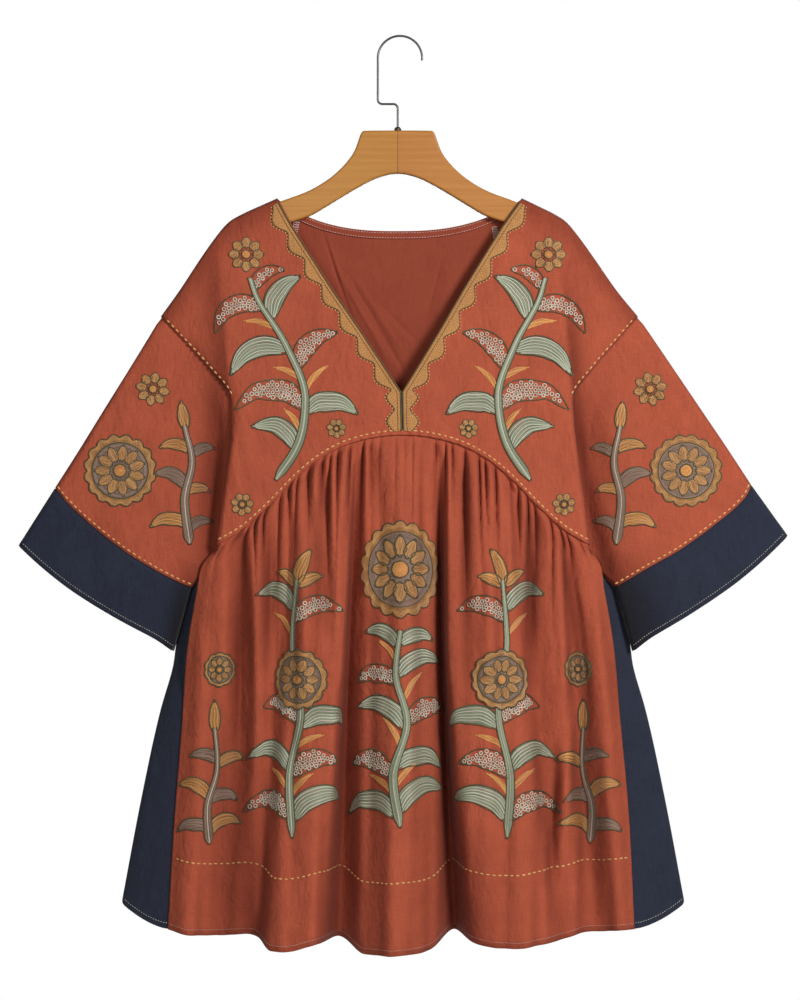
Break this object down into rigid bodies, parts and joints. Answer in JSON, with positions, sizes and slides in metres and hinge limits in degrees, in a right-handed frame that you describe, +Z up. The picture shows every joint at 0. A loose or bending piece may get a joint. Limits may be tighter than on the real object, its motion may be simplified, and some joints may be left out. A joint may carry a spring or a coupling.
{
  "type": "mini dress on a wooden hanger",
  "caption": "V-neck smock mini dress with an arched gathered yoke seam, wide elbow sleeves with dark bands and dark side panels, hung flat on a wooden hanger.",
  "frame": {"origin": "inner top of the hanger's hook, where the rail carries it", "axes": "+Z up, along the dress's length; the dress faces -Y; +X to the right of a person who looks at its front"},
  "size_m": [0.867, 0.1043, 1.0298],
  "materials": {
    "terracotta_cotton": "matt plain-weave cotton",
    "navy_cotton": "matt plain-weave cotton",
    "ochre_embroidery": "dense satin-stitch thread",
    "beech": "clear satin varnish",
    "steel": "polished wire",
    "dark_brass": "dull"
  },
  "bodies": {
    "root": {"front_yoke": "terracotta_cotton", "back_yoke": "terracotta_cotton", "front_skirt": "terracotta_cotton", "back_skirt": "terracotta_cotton", "side_panel_left": "navy_cotton", "side_panel_right": "navy_cotton", "sleeve_left": "terracotta_cotton", "sleeve_right": "terracotta_cotton", "cuff_left": "navy_cotton", "cuff_right": "navy_cotton", "neck_trim_left": "ochre_embroidery", "neck_trim_right": "ochre_embroidery", "back_neck_binding": "terracotta_cotton", "hanger": "beech", "hook": "steel", "hook_collar": "dark_brass"}
  },
  "joints": []
}
